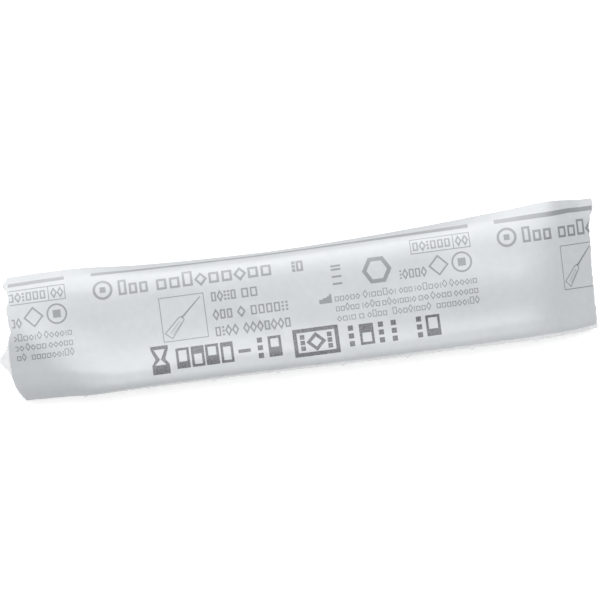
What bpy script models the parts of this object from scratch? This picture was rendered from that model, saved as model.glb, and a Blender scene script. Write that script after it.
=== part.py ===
"""A sealed sterile needle packet, lying on its formed film trough with the paper lid up.

One closed solid: a paper lid over a film web, sealed round the edge, with the needle in its
sheath shut inside the trough. +X runs along the packet in the reading direction of the print,
+Y up the print and +Z out of the paper. The origin is under the middle of the outline, on the
surface that the trough lies on.
"""

import functools
import math

import bmesh
import bpy
import numpy as np

MM = 0.001

# Flat sheet, in millimetres. "across" is the distance over the paper from its upper long edge.
SHEET_WIDTH = (
    (-46.0, 20.55),
    (-41.0, 20.65),
    (-37.0, 20.75),
    (-33.0, 20.97),
    (-11.0, 21.08),
    (9.0, 21.26),
    (30.0, 21.3),
    (38.0, 21.2),
    (42.0, 21.1),
    (46.0, 20.75),
)
LEFT_END = -44.8
RIGHT_END = 45.75
SEAL_THICKNESS = 0.3
LID_HEIGHT = 8.0

# The line of the lid that stays straight and level: the fold is measured from it both ways.
LEVEL_LINE_Y = -3.29
LEVEL_LINE_ACROSS = 14.1

# Upper margin: folded down along the trough, most in the middle of the packet.
FOLD_REACH = ((-46.0, 9.0), (-37.0, 7.8), (-24.0, 7.5), (24.0, 7.5), (46.0, 7.5))
FOLD_DEGREES = (
    (-46.0, 44.0),
    (-34.0, 46.5),
    (-24.0, 65.0),
    (-8.0, 76.0),
    (4.0, 75.0),
    (20.0, 63.0),
    (33.0, 44.0),
    (40.0, 28.0),
    (45.0, 42.0),
)

# Lower margin: the last strip curls down past the seal.
CURL_REACH = ((-46.0, 3.5), (-37.0, 3.5), (-33.0, 2.4), (-28.0, 2.0), (46.0, 2.0))
CURL_DEGREES = (
    (-46.0, 32.0),
    (-41.0, 34.0),
    (-37.0, 36.0),
    (-33.0, 42.0),
    (-28.0, 46.0),
    (0.0, 45.0),
    (15.0, 40.0),
    (30.0, 34.0),
    (38.0, 20.0),
)

# Rise to the crest where the lid turns over from the trough to the lower seal: how steep it
# is, how far from the lower edge it is steepest, and how far in from there it begins.
RISE_DEGREES = (
    (-46.0, 8.0),
    (-37.0, 10.0),
    (-30.0, 18.0),
    (-15.0, 19.0),
    (0.0, 15.0),
    (15.0, 11.0),
    (30.0, 14.0),
    (35.0, 9.0),
    (41.0, 0.0),
)
RISE_FROM_EDGE = (
    (-46.0, 5.0),
    (-37.0, 4.8),
    (-28.0, 3.5),
    (-15.0, 4.2),
    (0.0, 3.6),
    (15.0, 3.2),
    (30.0, 3.5),
)
RISE_REACH = ((-37.0, 9.0), (-27.0, 7.5), (-15.0, 5.5), (0.0, 5.0), (15.0, 3.0), (30.0, 3.0))
RISE_TURN = 1.1

# Soft ridges pressed up from inside: start, end, half width above it and below it, and height.
LID_RIDGES = (
    ((26.0, 0.1), (33.5, -0.8), 2.3, 3.6, 0.75),
    ((-46.0, 0.2), (-40.5, -0.7), 2.2, 3.0, 0.75),
)

# Corners and the end that bend down past a soft crease: a point on it, the downhill
# direction, the angle in degrees and the softness.
BENDS = (
    ((-39.4, -3.3), (-0.72, -0.694), 17.0, 0.7),
    ((38.2, 0.5), (0.985, -0.17), 23.5, 1.0),
)

# Torn perforation ties along the lower long edge.
TIE_PITCH = 10.0
TIE_FIRST_X = -34.75
TIE_COUNT = 8
TIE_HALF_WIDTH = 0.45
TIE_HEIGHT = 0.35
COLUMNS_BETWEEN_TIES = 9

# Cut ends. Their waviness fades out over a short share of the length.
END_WAVE = 0.1
END_SHARE = 0.08
LEFT_SLANT = 0.45
LOWER_CORNER_CUT = 1.9
UPPER_CORNER_CUT = 0.8
FILM_TONGUE_Y = -2.9
FILM_TONGUE_REACH = 1.6
RIGHT_SLANT = 0.25
UPPER_CORNER_REACH = 1.15

# Film trough under the lid: its mouth and the run of its walls, across as shares of the
# sheet's width and along in millimetres.
TROUGH_MOUTH = (0.217, 0.792)
TROUGH_ENDS = (-37.5, 36.0)
TROUGH_SIDE_RUN = 0.165
TROUGH_END_RUN = 11.0

# Rows of the mesh across a sheet as wide as the last: close over the fold, the seal and the curl.
ROWS_ACROSS = (
    0.0, 0.9, 1.8, 2.7, 3.6, 4.6, 5.7, 6.9, 8.1, 9.5, 11.1, 12.6, 13.9, 15.0, 15.9, 16.8,
    17.7, 18.6, 19.3, 20.0, 20.6, 21.2,
)
INTEGRATION_STEP = 0.05


def clear_scene():
    for thing in list(bpy.data.objects):
        bpy.data.objects.remove(thing, do_unlink=True)


def smooth_through(stations, x):
    """A smooth curve through the stations, as a Catmull-Rom spline over x."""
    places = [place for place, _ in stations]
    values = [value for _, value in stations]
    if x <= places[0]:
        return values[0]
    if x >= places[-1]:
        return values[-1]
    k = max(i for i, place in enumerate(places) if place <= x)
    before = max(k - 1, 0)
    after = min(k + 2, len(places) - 1)
    run = places[k + 1] - places[k]
    start_slope = (values[k + 1] - values[before]) / (places[k + 1] - places[before])
    end_slope = (values[after] - values[k]) / (places[after] - places[k])
    u = (x - places[k]) / run
    return (
        values[k] * (1 + 2 * u) * (1 - u) ** 2
        + values[k + 1] * u * u * (3 - 2 * u)
        + run * (start_slope * u * (1 - u) ** 2 - end_slope * u * u * (1 - u))
    )


def bump(distance, half_width):
    return math.exp(-0.5 * (distance / half_width) ** 2)


def fading(share):
    """From 1 at a share of 0 softly down to 0 at a share of 1 and past it."""
    return np.cos(math.pi / 2 * np.clip(share, 0.0, 1.0)) ** 2


def lean_across(x, across):
    """How far the lid leans towards +Y at each place across the sheet, in radians."""
    from_edge = smooth_through(SHEET_WIDTH, x) - across
    before = from_edge - smooth_through(RISE_FROM_EDGE, x)
    before = np.where(before > 0, before / smooth_through(RISE_REACH, x), -before / RISE_TURN)
    fold = smooth_through(FOLD_DEGREES, x) * fading(across / smooth_through(FOLD_REACH, x))
    rise = smooth_through(RISE_DEGREES, x) * fading(before)
    curl = smooth_through(CURL_DEGREES, x) * fading(from_edge / smooth_through(CURL_REACH, x))
    return np.radians(fold + rise - curl)


@functools.lru_cache(maxsize=None)
def fold_section(x):
    """The cross-section at x, as arrays of across, y and z from the upper edge to the lower."""
    across = np.arange(0.0, smooth_through(SHEET_WIDTH, x) + INTEGRATION_STEP, INTEGRATION_STEP)
    lean = lean_across(x, across)
    between = (lean[1:] + lean[:-1]) / 2
    y = -np.concatenate([[0.0], np.cumsum(np.cos(between))]) * INTEGRATION_STEP
    z = np.concatenate([[0.0], np.cumsum(np.sin(between))]) * INTEGRATION_STEP
    y += LEVEL_LINE_Y - np.interp(LEVEL_LINE_ACROSS, across, y)
    z += LID_HEIGHT - np.interp(LEVEL_LINE_ACROSS, across, z)
    return across, y, z


def ridge_height(ridge, x, y):
    start, end, upper_width, lower_width, height = ridge
    run_x = end[0] - start[0]
    run_y = end[1] - start[1]
    share = ((x - start[0]) * run_x + (y - start[1]) * run_y) / (run_x**2 + run_y**2)
    share = min(max(share, 0.0), 1.0)
    distance = math.hypot(x - start[0] - share * run_x, y - start[1] - share * run_y)
    above = ((y - start[1]) * run_x - (x - start[0]) * run_y) / math.hypot(run_x, run_y)
    half_width = lower_width + (upper_width - lower_width) * (0.5 + 0.5 * math.tanh(above / 1.5))
    return height * bump(distance, half_width)


def bent(bend, x, y, z):
    """The point after the lid past a soft crease is turned down by the bend's angle."""
    point, downhill, degrees, softness = bend
    past = (x - point[0]) * downhill[0] + (y - point[1]) * downhill[1]
    turned = softness * float(np.logaddexp(0.0, past / softness))
    drawn_in = turned * (1 - math.cos(math.radians(degrees)))
    drop = turned * math.sin(math.radians(degrees))
    return x - downhill[0] * drawn_in, y - downhill[1] * drawn_in, z - drop


def left_outline(y):
    """The cut left end: a tongue of film stands out past the paper, and the corners are round."""
    tongue = FILM_TONGUE_REACH * bump(y - FILM_TONGUE_Y, 1.0)
    wave = END_WAVE * math.sin(1.9 * y + 0.6)
    slant = LEFT_SLANT * (1 - math.tanh((y + 2.0) / 2.0))
    lower_corner = LOWER_CORNER_CUT * bump(y + 9.6, 1.6)
    upper_corner = UPPER_CORNER_CUT * bump(y - 10.1, 0.6)
    return LEFT_END - tongue - slant + wave + lower_corner + upper_corner


def right_outline(y):
    """The cut right end: a little slanted, with the upper corner standing out."""
    slant = RIGHT_SLANT * (1 + math.tanh((y - 1.0) / 4.0))
    wave = END_WAVE * math.sin(2.3 * y)
    upper_corner = UPPER_CORNER_REACH * bump(y - 9.3, 1.4)
    return RIGHT_END + slant + wave + upper_corner


def tie_height(x):
    """How far a torn tie stands out of the lower edge at x."""
    for k in range(TIE_COUNT):
        distance = abs(x - (TIE_FIRST_X + k * TIE_PITCH))
        if distance < TIE_HALF_WIDTH:
            return TIE_HEIGHT * (1 - distance / TIE_HALF_WIDTH)
    return 0.0


def columns_along():
    """The mesh's columns: three to each tie, and even between the ties."""
    places = []
    for k in range(-1, TIE_COUNT + 1):
        tie = TIE_FIRST_X + k * TIE_PITCH
        places += [tie - TIE_HALF_WIDTH, tie, tie + TIE_HALF_WIDTH]
        step = (TIE_PITCH - 2 * TIE_HALF_WIDTH) / (COLUMNS_BETWEEN_TIES + 1)
        places += [tie + TIE_HALF_WIDTH + step * (j + 1) for j in range(COLUMNS_BETWEEN_TIES)]
    inner = [x for x in places if LEFT_END + 0.5 < x < RIGHT_END - 0.5]
    return [LEFT_END, *inner, RIGHT_END]


def lid_point(column, across):
    """A point on the upper face of the lid."""
    section_across, section_y, section_z = fold_section(column)
    y = float(np.interp(across, section_across, section_y))
    z = float(np.interp(across, section_across, section_z))
    along = (column - LEFT_END) / (RIGHT_END - LEFT_END)
    x = column
    x += (left_outline(y) - LEFT_END) * max(0.0, 1 - along / END_SHARE)
    x += (right_outline(y) - RIGHT_END) * max(0.0, 1 - (1 - along) / END_SHARE)
    if across == smooth_through(SHEET_WIDTH, column):
        y -= tie_height(column)
    z += sum(ridge_height(ridge, x, y) for ridge in LID_RIDGES)
    for bend in BENDS:
        x, y, z = bent(bend, x, y, z)
    return x, y, z


def trough_share(column, across):
    """The share of the way down to the lowest face: 0 in the seal, 1 along the trough's flat bottom."""
    down = across / smooth_through(SHEET_WIDTH, column)
    from_side = min(down - TROUGH_MOUTH[0], TROUGH_MOUTH[1] - down)
    from_end = min(column - TROUGH_ENDS[0], TROUGH_ENDS[1] - column)
    side = min(max(from_side / TROUGH_SIDE_RUN, 0.0), 1.0)
    end = min(max(from_end / TROUGH_END_RUN, 0.0), 1.0)
    return math.sin(math.pi / 2 * side) * math.sin(math.pi / 2 * end)


def film_point(column, across):
    """A point on the under face: the film lies against the paper in the seal, and drops in the trough."""
    x, y, z = lid_point(column, across)
    lean = float(lean_across(column, across))
    y -= SEAL_THICKNESS * math.sin(lean)
    z -= SEAL_THICKNESS * math.cos(lean)
    left = 1 - trough_share(column, across)
    return x, y, LID_HEIGHT * left + (z - LID_HEIGHT) * left**2


def centre_on_origin(shape):
    """Puts the origin under the middle of the outline, on the lowest face."""
    points = np.array([vertex.co for vertex in shape.verts])
    low = points.min(axis=0)
    high = points.max(axis=0)
    middle = ((low[0] + high[0]) / 2, (low[1] + high[1]) / 2, low[2])
    bmesh.ops.translate(shape, verts=shape.verts, vec=[-value for value in middle])


def packet_mesh():
    """A flat slab of quads, shaped point by point into the lid above and the film below."""
    columns = columns_along()
    shape = bmesh.new()
    bmesh.ops.create_grid(
        shape, x_segments=len(columns) - 1, y_segments=len(ROWS_ACROSS) - 1, size=1.0
    )
    extruded = bmesh.ops.extrude_face_region(shape, geom=list(shape.faces))
    upper = {part for part in extruded["geom"] if isinstance(part, bmesh.types.BMVert)}
    for vertex in shape.verts:
        column = columns[round((vertex.co.x + 1) / 2 * (len(columns) - 1))]
        row = ROWS_ACROSS[round((1 - vertex.co.y) / 2 * (len(ROWS_ACROSS) - 1))]
        across = row / ROWS_ACROSS[-1] * smooth_through(SHEET_WIDTH, column)
        point = lid_point(column, across) if vertex in upper else film_point(column, across)
        vertex.co = [MM * value for value in point]
    bmesh.ops.recalc_face_normals(shape, faces=shape.faces)
    centre_on_origin(shape)
    mesh = bpy.data.meshes.new("needle_packet")
    shape.to_mesh(mesh)
    shape.free()
    return mesh


def material(name, colour, roughness):
    made = bpy.data.materials.new(name)
    made.use_nodes = True
    shader = made.node_tree.nodes["Principled BSDF"]
    shader.inputs["Base Color"].default_value = (*colour, 1.0)
    shader.inputs["Roughness"].default_value = roughness
    shader.inputs["Metallic"].default_value = 0.0
    return made


def build_packet(collection):
    mesh = packet_mesh()
    mesh.materials.append(material("sterile_lid_paper", (0.69, 0.70, 0.715), 0.6))
    mesh.materials.append(material("milky_film", (0.72, 0.75, 0.78), 0.28))
    for face in mesh.polygons:
        face.material_index = 0 if face.normal.z > 0 else 1
    mesh.shade_smooth()
    mesh.set_sharp_from_angle(angle=math.radians(60))
    packet = bpy.data.objects.new("needle_packet", mesh)
    collection.objects.link(packet)


clear_scene()
packet_parts = bpy.data.collections.new("sealed_needle_packet")
bpy.context.scene.collection.children.link(packet_parts)
build_packet(packet_parts)
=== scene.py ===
"""Looks of the sealed needle packet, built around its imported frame.

The packet is a sheet of lid paper over a formed film web. Both are worked out from the same
sheet: a place on it is given by x along the packet and by "across", the distance over the paper
from its upper long edge. Lengths are in millimetres until a mesh is made.
"""

import math

import bpy
import numpy as np
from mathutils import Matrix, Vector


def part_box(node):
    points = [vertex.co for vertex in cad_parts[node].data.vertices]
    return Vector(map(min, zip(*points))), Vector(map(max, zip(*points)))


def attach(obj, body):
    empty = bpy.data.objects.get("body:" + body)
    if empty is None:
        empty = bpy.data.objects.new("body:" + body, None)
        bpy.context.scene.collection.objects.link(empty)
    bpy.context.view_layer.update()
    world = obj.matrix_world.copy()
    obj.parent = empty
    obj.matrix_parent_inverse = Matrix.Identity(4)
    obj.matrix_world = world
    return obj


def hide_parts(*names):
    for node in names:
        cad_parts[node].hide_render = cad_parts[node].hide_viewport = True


MM = 0.001

# Sheet, folds and bends, as in the part's source: stations along the packet, with a value at each.
SHEET_WIDTH = (
    (-46.0, 20.55),
    (-41.0, 20.65),
    (-37.0, 20.75),
    (-33.0, 20.97),
    (-11.0, 21.08),
    (9.0, 21.26),
    (30.0, 21.3),
    (38.0, 21.2),
    (42.0, 21.1),
    (46.0, 20.75),
)
LEFT_END = -44.8
RIGHT_END = 45.75
LID_HEIGHT = 8.0
LEVEL_LINE_Y = -3.29
LEVEL_LINE_ACROSS = 14.1
FOLD_REACH = ((-46.0, 9.0), (-37.0, 7.8), (-24.0, 7.5), (24.0, 7.5), (46.0, 7.5))
FOLD_DEGREES = (
    (-46.0, 44.0),
    (-34.0, 46.5),
    (-24.0, 65.0),
    (-8.0, 76.0),
    (4.0, 75.0),
    (20.0, 63.0),
    (33.0, 44.0),
    (40.0, 28.0),
    (45.0, 42.0),
)
CURL_REACH = ((-46.0, 3.5), (-37.0, 3.5), (-33.0, 2.4), (-28.0, 2.0), (46.0, 2.0))
CURL_DEGREES = (
    (-46.0, 32.0),
    (-41.0, 34.0),
    (-37.0, 36.0),
    (-33.0, 42.0),
    (-28.0, 46.0),
    (0.0, 45.0),
    (15.0, 40.0),
    (30.0, 34.0),
    (38.0, 20.0),
)
RISE_DEGREES = (
    (-46.0, 8.0),
    (-37.0, 10.0),
    (-30.0, 18.0),
    (-15.0, 19.0),
    (0.0, 15.0),
    (15.0, 11.0),
    (30.0, 14.0),
    (35.0, 9.0),
    (41.0, 0.0),
)
RISE_FROM_EDGE = (
    (-46.0, 5.0),
    (-37.0, 4.8),
    (-28.0, 3.5),
    (-15.0, 4.2),
    (0.0, 3.6),
    (15.0, 3.2),
    (30.0, 3.5),
)
RISE_REACH = ((-37.0, 9.0), (-27.0, 7.5), (-15.0, 5.5), (0.0, 5.0), (15.0, 3.0), (30.0, 3.0))
RISE_TURN = 1.1

# Soft creases past which the lid is turned down: a point, the way down, degrees and softness.
BENDS = (
    ((-39.4, -3.3), (-0.72, -0.694), 17.0, 0.7),
    ((38.2, 0.5), (0.985, -0.17), 23.5, 1.0),
)

# Soft ridges pressed up from inside, and the finer creases that only the looks need:
# start, end, half width above it and below it, and height.
LID_RIDGES = (
    ((26.0, 0.1), (33.5, -0.8), 2.3, 3.6, 0.75),
    ((-46.0, 0.2), (-40.5, -0.7), 2.2, 3.0, 0.75),
)
FINE_CREASES = (
    ((-8.3, 0.2), (-2.3, -4.6), 0.7, 0.7, 0.1),
    ((-37.5, 6.6), (-30.0, 6.0), 0.5, 0.5, 0.06),
)
RIDGE_BLEND = 1.5
RIPPLE_COUNT = 14
RIPPLE_LENGTHS = (3.0, 11.0)
RIPPLE_STEEPNESS = 0.0013
RIPPLE_SEED = 11

# Torn perforation ties and trough, as in the part's source.
TIE_PITCH = 10.0
TIE_FIRST_X = -34.75
TIE_COUNT = 8
TIE_HALF_WIDTH = 0.45
TIE_HEIGHT = 0.35
TIE_SLOPE = 1.3
TROUGH_MOUTH = (0.217, 0.792)
TROUGH_ENDS = (-37.5, 36.0)
TROUGH_SIDE_RUN = 0.165
TROUGH_END_RUN = 11.0

# Ends of the sheet: x of the torn one at stations of y, which follows it more closely than the
# source does, and how the cut one leans and is scalloped. A rag is a reach, a seed and a spacing.
END_SHARE = 0.08
LEFT_TEAR = (
    (-10.2, -43.7),
    (-9.4, -44.2),
    (-9.0, -44.45),
    (-8.4, -44.8),
    (-7.2, -45.3),
    (-6.0, -45.6),
    (-4.7, -45.63),
    (-3.3, -45.65),
    (-2.0, -45.6),
    (-1.0, -45.48),
    (0.2, -45.25),
    (1.4, -44.75),
    (2.6, -44.83),
    (3.9, -44.9),
    (5.1, -44.92),
    (6.3, -44.4),
    (7.5, -44.5),
    (8.6, -44.4),
    (9.2, -44.35),
    (9.8, -44.3),
    (10.3, -44.1),
)
TORN_RAGS = ((0.06, 3, 0.3), (0.05, 5, 1.1))
TORN_NIB = (8.75, 0.4, 0.8)
FILM_TONGUE = (-3.0, 1.0)
FILM_TONGUE_REACH = 1.6
RIGHT_SLANT = (0.25, 1.0, 4.0)
UPPER_CORNER = (9.3, 1.4, 1.15)
SCALLOP_HEIGHT = 0.1
SCALLOP_PITCH = 1.5
CUT_RAG = (0.06, 8, 0.3)

# Webs. PAPER_SHORT is how far the paper ends before the sheet's lower edge.
PAPER_THICKNESS = 0.09
FILM_THICKNESS = 0.1
WEB_GAP = 0.02
FILM_PROUD = 0.1
PAPER_SHORT = ((-46.0, 0.02), (-35.0, 0.06), (-27.0, 0.35), (-15.0, 0.5), (10.0, 0.6), (46.0, 0.62))
CLEAR_MARGIN = 0.3
EDGE_BLEND = 0.8
UPPER_EDGE_RAG = 0.03
LOWER_EDGE_RAG = 0.04
PAPER_CELL = 0.22
FILM_CELL = 0.3
PAPER_SEED = 21
FILM_SEED = 41
SHARP_DEGREES = 50.0
WEB_ROWS_WIDTH = 21.0
SECTION_X = (-48.0, 49.0)
SECTION_ACROSS = (-0.5, 22.5)
SECTION_STEP_X = 0.5
SECTION_STEP_ACROSS = 0.05

# Ink. Each grey copy has its shift along the packet, and how far it stands up the sheet.
INK_LIFT = 0.014
INK_SINK = 0.012
INK_CELL = 0.4
INK_FROM_END = 0.06
INK_LEFT_END = -44.4
SMALLEST_PATCH = 0.01
RING_SIDES = 28
GREY_COPIES = ((-62.75, 0.35), (0.0, 0.0), (62.65, -0.2))

# Past this place the print is drawn together by this share, as on a flap that hangs steeper.
DRAWN_IN_FROM = 40.3
DRAWN_IN = 0.2

# Words are rows of plain shapes, laid out in shares of their height. Dots are as wide as so many
# lines. The other shares are how often a shape is dots, tall, or a diamond.
WORD_GAP = 0.17
FRAME_WIDTH = 0.6
DOT_WIDTH = 1.4
DOTS_SHARE = 0.22
TALL_SHARE = 0.22
DIAMOND_SHARE = 0.4
WORD_LOW = 0.7

# Grey print in millimetres: x from the middle of the middle copy, across from the upper edge.
# A box is x0, x1, top, bottom and line, and a word's row is its base, height and line.
RULE = (-31.5, 27.1)
RULE_TOP = (
    (-46.0, 1.45),
    (-31.0, 1.42),
    (-8.0, 1.44),
    (12.0, 1.45),
    (20.0, 1.52),
    (27.0, 1.6),
    (36.0, 1.74),
    (40.0, 1.78),
    (44.0, 1.55),
)
RULE_BASE = (
    (-46.0, 2.1),
    (-31.0, 2.0),
    (-22.0, 1.88),
    (4.0, 1.9),
    (12.0, 2.03),
    (20.0, 2.2),
    (27.0, 2.36),
    (36.0, 2.53),
    (40.0, 2.58),
    (44.0, 2.38),
)
ROUND_MARK = (-29.9, 4.75, 1.55, 0.4, 0.45)
TITLE = (5.95, 2.5, 0.36)
TITLE_WORDS = ((-27.5, -23.0), (-21.6, -3.8), (-0.6, 1.0))
ICON = (-21.6, -14.6, 7.2, 14.1, 0.13)
NEEDLE_HUB = ((-21.2, 12.75), (-20.15, 13.65), (-18.05, 10.95), (-18.3, 10.4), (-18.85, 10.55))
NEEDLE_HUB_LINE = 0.14
NEEDLE_HUB_RIBS = (((-20.35, 12.85), (-18.75, 11.1)), ((-20.05, 13.1), (-18.45, 11.35)))
NEEDLE_TUBE = ((-18.4, 10.65), (-15.2, 7.75), 0.3)
MEDIUM_LINES = (
    (8.8, ((-13.5, -9.7), (-8.8, -6.3))),
    (11.6, ((-13.5, -10.6), (-9.7, -8.6), (-7.7, -1.9))),
    (14.2, ((-13.5, -10.0), (-9.1, -1.9))),
)
MEDIUM_HEIGHT = 1.45
MEDIUM_STROKE = 0.24
SMALL_LINES = (
    (11.3, ((5.3, 9.2), (9.7, 14.8), (15.3, 17.3), (17.7, 22.7), (23.1, 27.3))),
    (12.85, ((5.3, 8.9), (9.4, 12.1), (12.5, 17.7), (18.1, 19.7), (20.0, 23.2), (23.6, 27.3))),
    (14.4, ((5.3, 8.2), (8.7, 9.5), (10.0, 13.0), (13.9, 19.8), (20.7, 27.3))),
)
SMALL_HEIGHT = 1.1
SMALL_STROKE = 0.13
CELLS = (17.8, 27.1, 3.2, 5.7, 0.15)
CELL_DIVIDER = 24.4
CELL_ROW = (5.2, 1.4, 0.24)
CELL_WORDS = ((18.2, 24.0), (24.9, 26.7))
HEXAGON = (12.3, 7.3, 2.3, 0.62)
LOW_ROW = (9.2, 1.35, 0.2)
LOW_WORDS = ((15.7, 19.8),)
DIAMOND = (20.4, 23.2, 6.4, 9.3, 0.26)
TITLE_SEED = 100
MEDIUM_SEED = 200
SMALL_SEED = 300
CELL_SEED = 401
LOW_SEED = 403
SECOND_ROUND = (25.4, 7.8, 1.6, 0.28, 0.6)
SIDE_BARS = (5.3, 6.8, 0.3)
SIDE_BAR_TOPS = (5.7, 6.25, 7.35, 8.45)
STEPS = ((2.9, 10.75), (3.5, 10.55), (4.1, 10.35), (4.5, 10.05))
STEPS_END = (4.85, 11.4)

# Overprinted row in dark ink. A fill is a share of the frame's height, from above where negative.
GLASS = (-23.8, -21.1, 14.5, 19.0)
GLASS_CAP = 0.55
GLASS_WAIST_SHARE = 0.47
GLASS_LOWER_BULB = 0.95
GLASS_WALL = 0.5
GLASS_NECK = (0.1, 0.75)
DARK_TOP = 15.25
DARK_BASE = 18.5
DARK_STROKE = 0.4
DARK_WIDE = (
    (-20.0, -17.95),
    (-17.65, -15.65),
    (-15.45, -13.4),
    (-13.1, -11.15),
    (-5.75, -3.7),
    (8.4, 10.6),
    (18.7, 20.9),
)
DARK_DOTS = ((-7.4, -6.6), (6.7, 7.5), (11.35, 12.15), (13.35, 14.15), (17.25, 18.05))
DARK_FILLS = (0.2, -0.26, 0.32, -0.1, 0.34, -0.3, 0.22)
DARK_DASH = (-10.4, -8.5, 16.75, 17.3)
DARK_FRAME = (-1.85, 5.2, 14.8, 19.15, 0.6)
DARK_INNER = (15.75, 18.25)
DARK_INNER_DOTS = ((-0.8, -0.085), (3.4, 4.115))
DARK_DIAMOND = (0.1, 3.2, 15.5, 18.5, 0.5, 0.0)

# Photograph's view: the width that it takes in, its middle and its roll.
VIEW_WIDTH = 92.2
VIEW_CENTRE_Y = 0.47
VIEW_ROLL_DEGREES = -7.6
CAMERA_HEIGHT = 700.0
SENSOR_WIDTH = 36.0

# Floor: its size in metres, how far it lies below the packet in millimetres, and its glow.
FLOOR_SIZE = 6.0
FLOOR_DROP = 0.05
FLOOR_GLOW = 0.55

# Lamps: place, width and height in metres, and power.
OVERHEAD_LAMP = ((0.0, 0.22, 0.98), 0.6, 0.6, 2.2)
FILL_LAMP = ((0.0, 0.26, 1.07), 0.6, 0.6, 7.45)
LOW_SHEEN_LAMP = ((0.0, 0.8, 0.13), 0.7, 0.25, 2.6)
HIGH_SHEEN_LAMP = ((0.0, 0.62, 0.5), 0.7, 0.6, 3.0)
WORLD_STRENGTH = 0.25


def bump(distance, half_width):
    """A bell curve of height 1."""
    return np.exp(-0.5 * (distance / half_width) ** 2)


def smooth_through(stations, x):
    """A smooth curve through the stations, as a Catmull-Rom spline over x."""
    places = np.array([place for place, _ in stations])
    values = np.array([value for _, value in stations])
    last = len(places) - 1
    x = np.clip(x, places[0], places[-1])
    k = np.clip(np.searchsorted(places, x, side="right") - 1, 0, last - 1)
    before = np.maximum(k - 1, 0)
    after = np.minimum(k + 2, last)
    run = places[k + 1] - places[k]
    start_slope = (values[k + 1] - values[before]) / (places[k + 1] - places[before])
    end_slope = (values[after] - values[k]) / (places[after] - places[k])
    u = (x - places[k]) / run
    return (
        values[k] * (1 + 2 * u) * (1 - u) ** 2
        + values[k + 1] * u * u * (3 - 2 * u)
        + run * (start_slope * u * (1 - u) ** 2 - end_slope * u * u * (1 - u))
    )


def fading(share):
    """From 1 at a share of 0 softly down to 0 at a share of 1 and past it."""
    return np.cos(math.pi / 2 * np.clip(share, 0.0, 1.0)) ** 2


def section_table():
    """The folded cross-sections on an even grid: x places, across places, y and z."""
    x = np.arange(*SECTION_X, SECTION_STEP_X)
    across = np.arange(*SECTION_ACROSS, SECTION_STEP_ACROSS)

    def station(stations):
        return smooth_through(stations, x)[:, None]

    from_edge = station(SHEET_WIDTH) - across
    before = from_edge - station(RISE_FROM_EDGE)
    before = np.where(before > 0, before / station(RISE_REACH), -before / RISE_TURN)
    fold = station(FOLD_DEGREES) * fading(across / station(FOLD_REACH))
    rise = station(RISE_DEGREES) * fading(before)
    curl = station(CURL_DEGREES) * fading(from_edge / station(CURL_REACH))
    lean = np.radians(fold + rise - curl)
    between = (lean[:, 1:] + lean[:, :-1]) / 2
    start = np.zeros((len(x), 1))
    y = -np.hstack([start, np.cumsum(np.cos(between), axis=1)]) * SECTION_STEP_ACROSS
    z = np.hstack([start, np.cumsum(np.sin(between), axis=1)]) * SECTION_STEP_ACROSS
    level = round((LEVEL_LINE_ACROSS - across[0]) / SECTION_STEP_ACROSS)
    y += LEVEL_LINE_Y - y[:, level : level + 1]
    z += LID_HEIGHT - z[:, level : level + 1]
    return x, across, y, z


SECTION = section_table()


def folded(x, across):
    """y and z of the folded sheet, read between the sections and just short of the last one."""
    places, rows, y, z = SECTION
    u = np.clip((x - places[0]) / SECTION_STEP_X, 0, len(places) - 1.001)
    v = np.clip((across - rows[0]) / SECTION_STEP_ACROSS, 0, len(rows) - 1.001)
    i = u.astype(int)
    j = v.astype(int)
    u = u - i
    v = v - j
    weights = ((1 - u) * (1 - v), u * (1 - v), (1 - u) * v, u * v)
    corners = ((i, j), (i + 1, j), (i, j + 1), (i + 1, j + 1))
    folded_y = sum(weight * y[corner] for weight, corner in zip(weights, corners))
    folded_z = sum(weight * z[corner] for weight, corner in zip(weights, corners))
    return folded_y, folded_z


def ridge_height(ridge, x, y):
    """Height of a ridge between two points, with a half width of its own on either side."""
    start, end, upper_width, lower_width, height = ridge
    run_x = end[0] - start[0]
    run_y = end[1] - start[1]
    share = ((x - start[0]) * run_x + (y - start[1]) * run_y) / (run_x**2 + run_y**2)
    share = np.clip(share, 0.0, 1.0)
    distance = np.hypot(x - start[0] - share * run_x, y - start[1] - share * run_y)
    above = ((y - start[1]) * run_x - (x - start[0]) * run_y) / math.hypot(run_x, run_y)
    side = 0.5 + 0.5 * np.tanh(above / RIDGE_BLEND)
    half_width = lower_width + (upper_width - lower_width) * side
    return height * bump(distance, half_width)


def crumple(x, y):
    """Faint uneven waves of the paper, from a few crossing ripples."""
    chance = np.random.default_rng(RIPPLE_SEED)
    height = 0.0
    for _ in range(RIPPLE_COUNT):
        length = chance.uniform(*RIPPLE_LENGTHS)
        heading = chance.uniform(0.0, math.pi)
        phase = chance.uniform(0.0, 2 * math.pi)
        along = x * math.cos(heading) + y * math.sin(heading)
        wave = np.sin(2 * math.pi * along / length + phase)
        height = height + RIPPLE_STEEPNESS * length * wave
    return height


def bent(bend, x, y, z):
    """The point after the lid past a soft crease is turned down by the bend's angle."""
    point, downhill, degrees, softness = bend
    past = (x - point[0]) * downhill[0] + (y - point[1]) * downhill[1]
    turned = softness * np.logaddexp(0.0, past / softness)
    drawn_in = turned * (1 - math.cos(math.radians(degrees)))
    drop = turned * math.sin(math.radians(degrees))
    return x - downhill[0] * drawn_in, y - downhill[1] * drawn_in, z - drop


def lid_surface(x, across):
    """Points of the lid's upper face."""
    y, z = folded(x, across)
    z = z + crumple(x, y)
    for ridge in LID_RIDGES + FINE_CREASES:
        z = z + ridge_height(ridge, x, y)
    for bend in BENDS:
        x, y, z = bent(bend, x, y, z)
    return np.stack([x, y, z], axis=-1)


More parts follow.
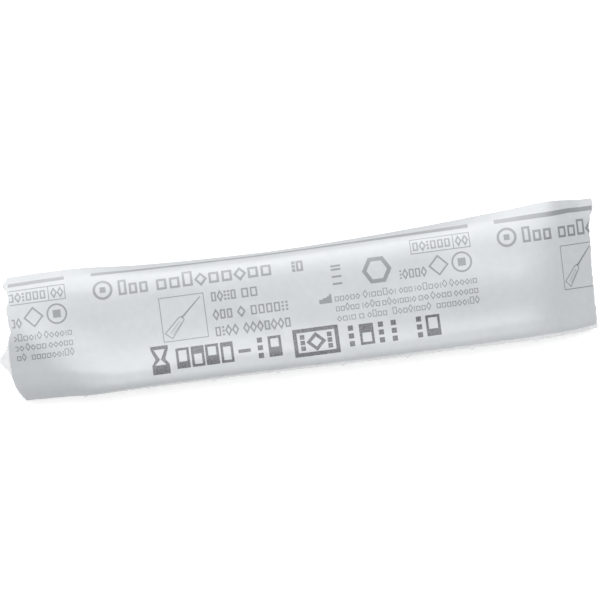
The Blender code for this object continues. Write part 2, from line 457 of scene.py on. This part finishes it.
def lid_normal(x, across):
    """Upward unit normals of the lid, from the surface a step to each side."""
    step = 0.05
    along = lid_surface(x + step, across) - lid_surface(x - step, across)
    over = lid_surface(x, across - step) - lid_surface(x, across + step)
    normal = np.cross(along, over)
    return normal / np.linalg.norm(normal, axis=-1, keepdims=True)


def ragged(place, reach, seed, spacing=0.3):
    """An uneven torn or cut edge, from -reach to reach, read along it."""
    chance = np.random.default_rng(seed)
    knots = np.arange(-60.0, 60.0, spacing)
    return reach * np.interp(place, knots, chance.uniform(-1.0, 1.0, len(knots)))


def left_outline(y, tongue):
    """The torn end, with a small nib. Only the film's has a tongue."""
    torn = smooth_through(LEFT_TEAR, y)
    for rag in TORN_RAGS:
        torn = torn + ragged(y, *rag)
    nib_y, nib_width, nib_reach = TORN_NIB
    tongue_y, tongue_width = FILM_TONGUE
    torn = torn - nib_reach * bump(y - nib_y, nib_width)
    return torn - tongue * bump(y - tongue_y, tongue_width)


def right_outline(y):
    """The cut end: slanted, scalloped by the blade, and longest at its upper corner."""
    reach, middle, softness = RIGHT_SLANT
    slant = reach * (1 + np.tanh((y - middle) / softness))
    corner_y, corner_width, corner_reach = UPPER_CORNER
    corner = corner_reach * bump(y - corner_y, corner_width)
    scallop = SCALLOP_HEIGHT * (np.abs(np.sin(math.pi * y / SCALLOP_PITCH)) - 0.5)
    return RIGHT_END + slant + corner + scallop + ragged(y, *CUT_RAG)


def tie_height(x):
    """How far the torn ties stand out of the lower edge."""
    nearest = np.clip(np.round((x - TIE_FIRST_X) / TIE_PITCH), 0, TIE_COUNT - 1)
    distance = np.abs(x - TIE_FIRST_X - nearest * TIE_PITCH)
    return TIE_HEIGHT * np.clip(TIE_SLOPE * (1 - distance / TIE_HALF_WIDTH), 0.0, 1.0)


def sheet_grid(cell, proud, tongue, seed):
    """Places of a web's grid on the sheet: x and across, out to its cut and torn edges.

    The film stands proud of the sheet and has the tongue and the ties; the paper falls short.
    """
    columns = np.linspace(0.0, 1.0, round((RIGHT_END - LEFT_END) / cell) + 1)
    rows = np.linspace(0.0, 1.0, round(WEB_ROWS_WIDTH / cell) + 1)
    along, down = np.meshgrid(columns, rows, indexing="ij")
    nominal = LEFT_END + along * (RIGHT_END - LEFT_END)
    width = smooth_through(SHEET_WIDTH, nominal)
    if not proud:
        width = width - smooth_through(PAPER_SHORT, nominal)
    across = down * width
    y, _ = folded(nominal, across)
    left = np.clip(1 - along / END_SHARE, 0.0, 1.0)
    right = np.clip(1 - (1 - along) / END_SHARE, 0.0, 1.0)
    x = nominal + left * (left_outline(y, tongue) - LEFT_END - proud)
    x = x + right * (right_outline(y) - RIGHT_END + proud)
    near_upper = np.clip(1 - across / EDGE_BLEND, 0.0, 1.0)
    near_lower = np.clip(1 - (width - across) / EDGE_BLEND, 0.0, 1.0)
    across = across - near_upper * (proud / 2 + ragged(x, UPPER_EDGE_RAG, seed))
    ties = tie_height(x) if proud else 0.0
    return x, across + near_lower * (proud + ties + ragged(x, LOWER_EDGE_RAG, seed + 1))


def shell_faces(rows, columns):
    """Quads of a closed shell between two grids of points: its upper face, lower face and rims."""
    upper = np.arange(rows * columns).reshape(rows, columns)
    lower = upper + rows * columns
    quads = [
        (upper[:-1, :-1], upper[:-1, 1:], upper[1:, 1:], upper[1:, :-1]),
        (lower[:-1, :-1], lower[1:, :-1], lower[1:, 1:], lower[:-1, 1:]),
    ]
    for near, far in (
        (upper[0, :], lower[0, :]),
        (lower[-1, :], upper[-1, :]),
        (lower[:, 0], upper[:, 0]),
        (upper[:, -1], lower[:, -1]),
    ):
        quads.append((near[:-1], far[:-1], far[1:], near[1:]))
    return np.concatenate([np.stack(quad, axis=-1).reshape(-1, 4) for quad in quads])


def shell_mesh(name, upper, lower):
    """A closed web between two grids of points."""
    points = np.concatenate([upper.reshape(-1, 3), lower.reshape(-1, 3)])
    return mesh_from(name, points, shell_faces(*upper.shape[:2]))


def offset_to_frame():
    """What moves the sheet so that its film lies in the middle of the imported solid."""
    low, high = (np.array(corner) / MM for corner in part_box("needle_packet"))
    x, across = sheet_grid(FILM_CELL, FILM_PROUD, FILM_TONGUE_REACH, FILM_SEED)
    points = film_surface(x, across).reshape(-1, 3)
    middle = (points.min(axis=0) + points.max(axis=0)) / 2
    offset = (low + high) / 2 - middle
    return np.array([offset[0], offset[1], 0.0])


def mesh_from(name, points, faces):
    """A smooth mesh in metres, in the frame, from points of the sheet in millimetres."""
    mesh = bpy.data.meshes.new(name)
    mesh.from_pydata(((points + OFFSET) * MM).tolist(), [], faces.tolist())
    mesh.update()
    mesh.shade_smooth()
    mesh.set_sharp_from_angle(angle=math.radians(SHARP_DEGREES))
    return mesh


def piece(name, mesh, material):
    """A visible piece of the packet, which rides on its only body."""
    made = bpy.data.objects.new(name, mesh)
    bpy.context.scene.collection.objects.link(made)
    made.data.materials.append(material)
    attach(made, "root")
    return made


def trough_share(x, across):
    """The share of the way down: 0 in the seal, and 1 along the trough's flat bottom."""
    down = across / smooth_through(SHEET_WIDTH, x)
    from_side = np.minimum(down - TROUGH_MOUTH[0], TROUGH_MOUTH[1] - down)
    from_end = np.minimum(x - TROUGH_ENDS[0], TROUGH_ENDS[1] - x)
    side = np.clip(from_side / TROUGH_SIDE_RUN, 0.0, 1.0)
    end = np.clip(from_end / TROUGH_END_RUN, 0.0, 1.0)
    return np.sin(math.pi / 2 * side) * np.sin(math.pi / 2 * end)


def film_surface(x, across):
    """Points of the film's under face: against the paper in the seal, and down in the trough."""
    under_paper = np.clip(across, 0.0, smooth_through(SHEET_WIDTH, x))
    normal = lid_normal(x, under_paper)
    points = lid_surface(x, under_paper) - normal * (PAPER_THICKNESS + WEB_GAP + FILM_THICKNESS)
    points[..., 1] -= across - under_paper
    left = 1 - trough_share(x, across)
    points[..., 2] = LID_HEIGHT * left + (points[..., 2] - LID_HEIGHT) * left**2
    return points


def grid_normals(points):
    """Upward unit normals of a grid of points."""
    along = np.gradient(points, axis=0)
    over = -np.gradient(points, axis=1)
    normal = np.cross(along, over)
    return normal / np.linalg.norm(normal, axis=-1, keepdims=True)


def lid_paper():
    """The lid, which has no tongue."""
    x, across = sheet_grid(PAPER_CELL, 0.0, 0.0, PAPER_SEED)
    upper = lid_surface(x, across)
    lower = upper - lid_normal(x, across) * PAPER_THICKNESS
    return shell_mesh("lid_paper", upper, lower)


def film_web():
    """The film, with its second material on the faces that stand out past the paper."""
    x, across = sheet_grid(FILM_CELL, FILM_PROUD, FILM_TONGUE_REACH, FILM_SEED)
    lower = film_surface(x, across)
    mesh = shell_mesh("film_web", lower + grid_normals(lower) * FILM_THICKNESS, lower)
    x = (x[:-1, :-1] + x[1:, 1:]) / 2
    across = (across[:-1, :-1] + across[1:, 1:]) / 2
    y, _ = folded(x, across)
    past_left = x < left_outline(y, 0.0) + CLEAR_MARGIN
    past_right = x > right_outline(y) - CLEAR_MARGIN
    lowest = smooth_through(SHEET_WIDTH, x) - smooth_through(PAPER_SHORT, x) - CLEAR_MARGIN
    clear = past_left | past_right | (across < CLEAR_MARGIN) | (across > lowest)
    index = np.ones(len(mesh.polygons), dtype=np.int32)
    index[: 2 * clear.size] = np.tile(clear.ravel(), 2)
    mesh.polygons.foreach_set("material_index", index)
    return mesh


def patch_area(x, across):
    """The area of a grid of places, negative where the grid is turned over."""
    along_x, along_across = np.diff(x, axis=0)[:, :-1], np.diff(across, axis=0)[:, :-1]
    over_x, over_across = np.diff(x, axis=1)[:-1], np.diff(across, axis=1)[:-1]
    return np.sum(along_x * over_across - along_across * over_x)


class Ink:
    """Flat shapes printed on the sheet, kept as closed thin patches of its surface."""

    def __init__(self):
        self.points = []
        self.faces = []
        self.shift = 0.0
        self.raised = 0.0

    def quad(self, corners):
        """A patch between four corners (x, across), in order round it."""
        a, b, c, d = (np.array(corner, float) for corner in corners)
        if np.linalg.det([b - a, d - a]) < 0:
            b, d = d, b
        wide = max(np.linalg.norm(b - a), np.linalg.norm(c - d))
        high = max(np.linalg.norm(d - a), np.linalg.norm(c - b))
        u = np.linspace(0.0, 1.0, math.ceil(wide / INK_CELL) + 1)[:, None, None]
        v = np.linspace(0.0, 1.0, math.ceil(high / INK_CELL) + 1)[None, :, None]
        self.patch((a * (1 - u) + b * u) * (1 - v) + (d * (1 - u) + c * u) * v)

    def patch(self, places):
        """A grid of places on the sheet, cut off at the packet's ends."""
        x, across = places[..., 0] + self.shift, places[..., 1] - self.raised
        x = x - DRAWN_IN * np.maximum(x - DRAWN_IN_FROM, 0.0)
        y, _ = folded(x, across)
        start = np.maximum(left_outline(y, 0.0) + INK_FROM_END, INK_LEFT_END)
        within = np.clip(x, start, right_outline(y) - INK_FROM_END)
        inside = np.flatnonzero((within == x).any(axis=1))
        if not len(inside):
            return
        kept = slice(max(inside[0] - 1, 0), inside[-1] + 2)
        x, across = within[kept], across[kept]
        if patch_area(x, across) < SMALLEST_PATCH:
            return
        surface = lid_surface(x, across)
        normal = lid_normal(x, across)
        self.faces.append(shell_faces(*x.shape) + sum(len(block) for block in self.points))
        for level in (surface + normal * INK_LIFT, surface - normal * INK_SINK):
            self.points.append(level.reshape(-1, 3))

    def bar(self, x0, x1, top, bottom):
        self.quad(((x0, top), (x1, top), (x1, bottom), (x0, bottom)))

    def frame(self, x0, x1, top, bottom, line):
        """Four bars round an open middle."""
        self.bar(x0, x1, top, top + line)
        self.bar(x0, x1, bottom - line, bottom)
        self.bar(x0, x0 + line, top + line, bottom - line)
        self.bar(x1 - line, x1, top + line, bottom - line)

    def ring(self, x, across, radius, line):
        turn = np.linspace(0.0, 2 * math.pi, RING_SIDES + 1)[:, None]
        reach = np.array([radius, radius - line])[None, :]
        places = np.stack([x + reach * np.cos(turn), across + reach * np.sin(turn)], axis=-1)
        self.patch(places)

    def taper(self, start, end, width, end_width):
        """A straight line that changes its width."""
        start, end = np.array(start, float), np.array(end, float)
        run = (end - start) / np.linalg.norm(end - start)
        side = np.array([-run[1], run[0]]) / 2
        near, far = side * width, side * end_width
        self.quad((start - near, end - far, end + far, start + near))

    def band(self, corners, line, outside=0.0):
        """Mitred sides round a closed outline, with a share of their width outside it."""
        corners = np.array(corners, float)
        x, across = corners.T
        if np.sum(x * np.roll(across, -1) - np.roll(x, -1) * across) < 0:
            corners = corners[::-1]
        along = np.roll(corners, -1, axis=0) - corners
        along = along / np.linalg.norm(along, axis=1, keepdims=True)
        inward = np.stack([-along[:, 1], along[:, 0]], axis=1)
        before = np.roll(inward, 1, axis=0)
        mitre = line * (inward + before) / (1 + np.sum(inward * before, axis=1, keepdims=True))
        outer = corners - mitre * outside
        inner = corners + mitre * (1 - outside)
        for k in range(len(corners)):
            self.quad((outer[k - 1], outer[k], inner[k], inner[k - 1]))

    def hexagon(self, x, across, radius, line):
        """A regular six-sided band with a corner at its left and right."""
        turn = np.linspace(0.0, 2 * math.pi, 6, endpoint=False)
        places = np.stack([x + radius * np.cos(turn), across + radius * np.sin(turn)], axis=-1)
        self.band(places, line)

    def filled_frame(self, x0, x1, top, bottom, line, fill):
        """A frame filled by a share of its height, from below or, where negative, from above."""
        self.frame(x0, x1, top, bottom, line)
        reach = fill * (bottom - top)
        if reach > 0:
            self.bar(x0 + line, x1 - line, bottom - line - reach, bottom - line)
        elif reach < 0:
            self.bar(x0 + line, x1 - line, top + line, top + line - reach)

    def dots(self, x0, x1, top, bottom):
        """Three small squares, one above the other."""
        side = x1 - x0
        for start in np.linspace(top, bottom - side, 3):
            self.bar(x0, x1, start, start + side)

    def diamond(self, x0, x1, top, bottom, line, outside=0.5):
        """A band through the middles of a box's sides."""
        middle, level = (x0 + x1) / 2, (top + bottom) / 2
        self.band([(middle, top), (x1, level), (middle, bottom), (x0, level)], line, outside)

    def word(self, x0, x1, base, height, line, low, seed):
        """A word as a row of plain shapes: small frames, diamonds and dots."""
        chance = np.random.default_rng(seed)
        gap = WORD_GAP * height
        dot = DOT_WIDTH * line
        widths = []
        while sum(widths) + gap * len(widths) < x1 - x0 - dot:
            widths.append(dot if chance.random() < DOTS_SHARE else FRAME_WIDTH * height)
        stretch = (x1 - x0 + gap) / (sum(widths) + gap * len(widths))
        start = x0
        for width in widths:
            tall = chance.random() < TALL_SHARE
            pointed = chance.random() < DIAMOND_SHARE
            end = start + width * stretch
            top = base - height * (1.0 if tall else low)
            if width == dot:
                self.dots(start, start + dot, base - height * low, base)
            elif pointed:
                self.diamond(start, end, top, base, line)
            else:
                self.frame(start, end, top, base, line)
            start = end + gap * stretch

    def words(self, row, words, low, seed):
        """Words of one row, given by where each starts and ends."""
        base, height, line = row
        for k, (x0, x1) in enumerate(words):
            self.word(x0, x1, base, height, line, low, seed + k)

    def mesh(self, name):
        return mesh_from(name, np.concatenate(self.points), np.concatenate(self.faces))


def grey_copy(ink):
    """One repeat of the grey print. Words are plain shapes, and so are the marks."""
    ruled_line(ink)
    round_mark(ink, ROUND_MARK)
    ink.words(TITLE, TITLE_WORDS, WORD_LOW, TITLE_SEED)
    needle_icon(ink)
    for k, (base, words) in enumerate(MEDIUM_LINES):
        ink.words((base, MEDIUM_HEIGHT, MEDIUM_STROKE), words, 1.0, MEDIUM_SEED + 10 * k)
    for k, (base, words) in enumerate(SMALL_LINES):
        ink.words((base, SMALL_HEIGHT, SMALL_STROKE), words, WORD_LOW, SMALL_SEED + 10 * k)
    plain_marks(ink)


def ruled_line(ink):
    """The thick line along the fold, which runs a little unevenly over the sheet."""
    x = np.linspace(*RULE, round((RULE[1] - RULE[0]) / INK_CELL))
    top = smooth_through(RULE_TOP, x + ink.shift) + ink.raised
    base = smooth_through(RULE_BASE, x + ink.shift) + ink.raised
    rows = [np.stack([x, top * (1 - share) + base * share], axis=-1) for share in (0.0, 0.5, 1.0)]
    ink.patch(np.stack(rows, axis=1))


def round_mark(ink, mark):
    """A ring round a small square."""
    x, across, radius, line, half = mark
    ink.ring(x, across, radius, line)
    ink.bar(x - half, x + half, across - half, across + half)


def needle_icon(ink):
    """A square frame with a plain needle in it: the outline of a tapered hub, and a thin tube."""
    ink.frame(*ICON)
    ink.band(NEEDLE_HUB, NEEDLE_HUB_LINE, 0.5)
    for start, end in NEEDLE_HUB_RIBS:
        ink.taper(start, end, NEEDLE_HUB_LINE / 2, NEEDLE_HUB_LINE / 2)
    start, end, width = NEEDLE_TUBE
    ink.taper(start, end, width, width / 2)


def plain_marks(ink):
    """Two cells with words in them, and the smaller marks round them."""
    ink.frame(*CELLS)
    _, _, top, bottom, line = CELLS
    ink.bar(CELL_DIVIDER, CELL_DIVIDER + line, top + line, bottom - line)
    ink.words(CELL_ROW, CELL_WORDS, 1.0, CELL_SEED)
    ink.hexagon(*HEXAGON)
    ink.words(LOW_ROW, LOW_WORDS, 1.0, LOW_SEED)
    ink.diamond(*DIAMOND)
    round_mark(ink, SECOND_ROUND)
    x0, x1, line = SIDE_BARS
    for top in SIDE_BAR_TOPS:
        ink.bar(x0, x1, top, top + line)
    x1, base = STEPS_END
    ends = [x for x, _ in STEPS[1:]] + [x1]
    for (start, top), end in zip(STEPS, ends):
        ink.bar(start, end, top, base)


def dark_row(ink):
    """The overprinted row: a sand glass, part-filled frames, dots, a dash and a larger frame."""
    sand_glass(ink)
    for (x0, x1), fill in zip(DARK_WIDE, DARK_FILLS):
        ink.filled_frame(x0, x1, DARK_TOP, DARK_BASE, DARK_STROKE, fill)
    for x0, x1 in DARK_DOTS:
        ink.dots(x0, x1, DARK_TOP, DARK_BASE)
    ink.bar(*DARK_DASH)
    ink.frame(*DARK_FRAME)
    for x0, x1 in DARK_INNER_DOTS:
        ink.dots(x0, x1, *DARK_INNER)
    ink.diamond(*DARK_DIAMOND)


def sand_glass(ink):
    """A sand glass: its upper bulb empty, its lower one full."""
    x0, x1, top, bottom = GLASS
    middle = (x0 + x1) / 2
    cap = top + GLASS_CAP
    waist = top + GLASS_WAIST_SHARE * (bottom - top)
    sand = waist + GLASS_LOWER_BULB
    ink.bar(x0, x1, top, cap)
    ink.bar(x0, x1, sand, bottom)
    for outer, side in ((x0, -1.0), (x1, 1.0)):
        inner = outer - side * GLASS_WALL
        gap, neck = (middle + side * reach for reach in GLASS_NECK)
        ink.quad(((outer, cap), (inner, cap), (gap, waist), (neck, waist)))
        ink.quad(((neck, waist), (middle, waist), (inner, sand), (outer, sand)))


def grey_print():
    """All that can be seen of the three copies of the grey print."""
    ink = Ink()
    for shift, raised in GREY_COPIES:
        ink.shift = shift
        ink.raised = raised
        grey_copy(ink)
    return ink.mesh("grey_print")


def dark_print():
    """The row that is overprinted once, in the middle."""
    ink = Ink()
    dark_row(ink)
    return ink.mesh("dark_print")


def new_material(name):
    """A new material, its nodes and its shader."""
    made = bpy.data.materials.new(name)
    made.use_nodes = True
    tree = made.node_tree
    return made, tree, tree.nodes["Principled BSDF"]


def coordinates(tree):
    """Object coordinates in millimetres."""
    place = tree.nodes.new("ShaderNodeTexCoord")
    scale = tree.nodes.new("ShaderNodeVectorMath")
    scale.operation = "SCALE"
    scale.inputs["Scale"].default_value = 1 / MM
    tree.links.new(place.outputs["Object"], scale.inputs[0])
    return scale.outputs["Vector"]


def noise(tree, vector, scale, detail, roughness=0.55):
    """The value of a noise texture, with its scale per millimetre."""
    node = tree.nodes.new("ShaderNodeTexNoise")
    node.inputs["Scale"].default_value = scale
    node.inputs["Detail"].default_value = detail
    node.inputs["Roughness"].default_value = roughness
    tree.links.new(vector, node.inputs["Vector"])
    return node.outputs["Fac"]


def tint(tree, factor, dark, light, low=0.3, high=0.7):
    """A colour that goes from dark to light as the factor goes from low to high."""
    ramp = tree.nodes.new("ShaderNodeValToRGB")
    ramp.color_ramp.elements[0].position = low
    ramp.color_ramp.elements[0].color = (*dark, 1.0)
    ramp.color_ramp.elements[1].position = high
    ramp.color_ramp.elements[1].color = (*light, 1.0)
    tree.links.new(factor, ramp.inputs["Fac"])
    return ramp.outputs["Color"]


def bumpy(tree, shader, height, distance, strength):
    """Relief of the surface, with its distance in millimetres."""
    node = tree.nodes.new("ShaderNodeBump")
    node.inputs["Distance"].default_value = distance * MM
    node.inputs["Strength"].default_value = strength
    tree.links.new(height, node.inputs["Height"])
    tree.links.new(node.outputs["Normal"], shader.inputs["Normal"])


def paper_material():
    """Smooth coated sterilisation paper: cool white, faint fibre cloud, soft satin."""
    made, tree, shader = new_material("lid_paper")
    vector = coordinates(tree)
    cloud = noise(tree, vector, 0.9, 5.0)
    colour = tint(tree, cloud, (0.58, 0.607, 0.63), (0.62, 0.642, 0.662))
    tree.links.new(colour, shader.inputs["Base Color"])
    shader.inputs["Roughness"].default_value = 0.5
    shader.inputs["IOR"].default_value = 1.75
    shader.inputs["Specular IOR Level"].default_value = 0.8
    bumpy(tree, shader, noise(tree, vector, 7.0, 4.0), 0.02, 0.25)
    return made


def film_material():
    """Milky formed film: satin gloss with fine draw lines."""
    made, tree, shader = new_material("film_web")
    vector = coordinates(tree)
    cloud = noise(tree, vector, 0.6, 3.0)
    colour = tint(tree, cloud, (0.78, 0.8, 0.82), (0.86, 0.875, 0.89))
    tree.links.new(colour, shader.inputs["Base Color"])
    shader.inputs["Roughness"].default_value = 0.26
    shader.inputs["Specular IOR Level"].default_value = 0.5
    bumpy(tree, shader, noise(tree, vector, 2.5, 3.0), 0.05, 0.2)
    return made


def clear_film_material():
    """The same film where no paper backs it: clear, with a faint haze."""
    made, tree, shader = new_material("film_edge")
    haze = noise(tree, coordinates(tree), 1.5, 4.0)
    colour = tint(tree, haze, (0.8, 0.82, 0.84), (0.9, 0.91, 0.92))
    tree.links.new(colour, shader.inputs["Base Color"])
    shader.inputs["Roughness"].default_value = 0.2
    shader.inputs["Alpha"].default_value = 0.45
    return made


def ink_material(name, thin, full, low, high):
    """Printing ink that lies a little uneven on the paper."""
    made, tree, shader = new_material(name)
    vector = coordinates(tree)
    colour = tint(tree, noise(tree, vector, 5.0, 4.0, 0.7), thin, full, low, high)
    tree.links.new(colour, shader.inputs["Base Color"])
    shader.inputs["Roughness"].default_value = 0.5
    shader.inputs["IOR"].default_value = 1.9
    shader.inputs["Specular IOR Level"].default_value = 0.85
    return made


def floor_material():
    """A pale floor that the camera sees as white, with the object's shadow kept."""
    made, tree, shader = new_material("floor")
    shader.inputs["Base Color"].default_value = (0.8, 0.8, 0.8, 1.0)
    shader.inputs["Roughness"].default_value = 0.9
    shader.inputs["Emission Color"].default_value = (1.0, 1.0, 1.0, 1.0)
    tree.links.new(seen_directly(tree, FLOOR_GLOW), shader.inputs["Emission Strength"])
    return made


def seen_directly(tree, strength):
    """The strength for camera, glossy and transmission rays, and 0 for all others."""
    rays = tree.nodes.new("ShaderNodeLightPath")
    either = tree.nodes.new("ShaderNodeMath")
    either.operation = "MAXIMUM"
    tree.links.new(rays.outputs["Is Camera Ray"], either.inputs[0])
    tree.links.new(rays.outputs["Is Glossy Ray"], either.inputs[1])
    any_of = tree.nodes.new("ShaderNodeMath")
    any_of.operation = "MAXIMUM"
    tree.links.new(either.outputs[0], any_of.inputs[0])
    tree.links.new(rays.outputs["Is Transmission Ray"], any_of.inputs[1])
    scaled = tree.nodes.new("ShaderNodeMath")
    scaled.operation = "MULTIPLY"
    scaled.inputs[1].default_value = strength
    tree.links.new(any_of.outputs[0], scaled.inputs[0])
    return scaled.outputs[0]


def make_floor():
    """A large plain floor, a hair below the packet."""
    half = FLOOR_SIZE / 2
    corners = [(-half, -half, 0.0), (half, -half, 0.0), (half, half, 0.0), (-half, half, 0.0)]
    mesh = bpy.data.meshes.new("floor")
    mesh.from_pydata(corners, [], [(0, 1, 2, 3)])
    floor = bpy.data.objects.new("floor", mesh)
    floor.location.z = -FLOOR_DROP * MM
    floor.data.materials.append(floor_material())
    bpy.context.scene.collection.objects.link(floor)


def area_lamp(name, place, width, height, power):
    """A soft lamp that faces the packet."""
    data = bpy.data.lights.new(name, "AREA")
    data.shape = "RECTANGLE"
    data.size = width
    data.size_y = height
    data.energy = power
    lamp = bpy.data.objects.new(name, data)
    lamp.location = place
    lamp.rotation_euler = (-lamp.location).to_track_quat("-Z", "Y").to_euler()
    bpy.context.scene.collection.objects.link(lamp)
    return lamp


def make_lights():
    """High lamps for the plain level, and two behind the ruled edge that only give its sheen."""
    area_lamp("overhead", *OVERHEAD_LAMP)
    area_lamp("fill", *FILL_LAMP).visible_glossy = False
    area_lamp("sheen_low", *LOW_SHEEN_LAMP).visible_diffuse = False
    area_lamp("sheen_high", *HIGH_SHEEN_LAMP).visible_diffuse = False
    world = bpy.data.worlds.new("studio")
    world.use_nodes = True
    background = world.node_tree.nodes["Background"]
    background.inputs["Color"].default_value = (1.0, 1.0, 1.0, 1.0)
    background.inputs["Strength"].default_value = WORLD_STRENGTH
    bpy.context.scene.world = world


def make_camera():
    """A camera high above the lid, turned as the photograph is."""
    data = bpy.data.cameras.new("camera")
    data.sensor_width = SENSOR_WIDTH
    data.lens = SENSOR_WIDTH * (CAMERA_HEIGHT - LID_HEIGHT) / VIEW_WIDTH
    data.clip_start = 0.01
    camera = bpy.data.objects.new("camera", data)
    camera.location = (OFFSET[0] * MM, (VIEW_CENTRE_Y + OFFSET[1]) * MM, CAMERA_HEIGHT * MM)
    camera.rotation_euler = (0.0, 0.0, math.radians(VIEW_ROLL_DEGREES))
    bpy.context.scene.collection.objects.link(camera)
    bpy.context.scene.camera = camera


def main():
    """The pieces, floor, lights and camera."""
    paper = piece("lid_paper", lid_paper(), paper_material())
    film = piece("film_web", film_web(), film_material())
    film.data.materials.append(clear_film_material())
    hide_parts("needle_packet")
    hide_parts("needle_packet")
    grey = ink_material("grey_ink", (0.24, 0.255, 0.27), (0.2, 0.215, 0.23), 0.35, 0.65)
    dark = ink_material("dark_ink", (0.13, 0.137, 0.155), (0.005, 0.008, 0.016), 0.4, 0.58)
    piece("grey_print", grey_print(), grey)
    piece("dark_print", dark_print(), dark)
    make_floor()
    make_lights()
    make_camera()
    bpy.context.scene.view_settings.view_transform = "Standard"


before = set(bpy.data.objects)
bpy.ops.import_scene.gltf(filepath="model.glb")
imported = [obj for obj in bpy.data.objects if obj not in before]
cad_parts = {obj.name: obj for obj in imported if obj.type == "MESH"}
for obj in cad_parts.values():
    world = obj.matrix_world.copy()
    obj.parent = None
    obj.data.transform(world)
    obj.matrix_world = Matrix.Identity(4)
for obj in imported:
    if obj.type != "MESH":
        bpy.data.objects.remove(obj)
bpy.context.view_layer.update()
OFFSET = offset_to_frame()
main()
